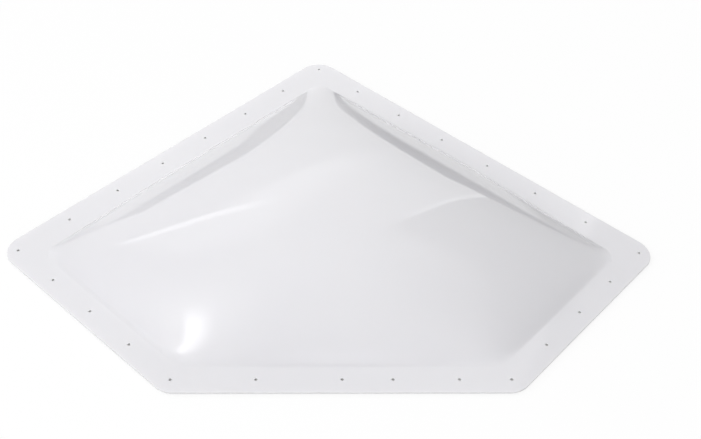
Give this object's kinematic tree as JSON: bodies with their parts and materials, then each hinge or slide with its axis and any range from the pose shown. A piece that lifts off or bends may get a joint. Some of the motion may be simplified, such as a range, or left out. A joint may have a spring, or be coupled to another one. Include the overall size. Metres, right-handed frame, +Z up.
{
  "type": "rv skylight",
  "caption": "Five-sided milky roof skylight for a corner shower: a low blown dome in a drilled flat flange, on sealing strips.",
  "frame": {"origin": "middle of the sheet's own outline box, at the underside of the sealing strips", "axes": "+Z up out of the roof, +X along the longest width, -Y towards the short front edge"},
  "size_m": [1.1332, 0.8719, 0.1062],
  "materials": {
    "dome_sheet": "milky white translucent acrylic, glossy",
    "sealing_tape": "soft light grey putty tape, matt"
  },
  "bodies": {
    "root": {"outer_dome": "dome_sheet", "seal_back_right": "sealing_tape", "seal_back_left": "sealing_tape", "seal_side_left": "sealing_tape", "seal_front": "sealing_tape", "seal_side_right": "sealing_tape"}
  },
  "joints": []
}
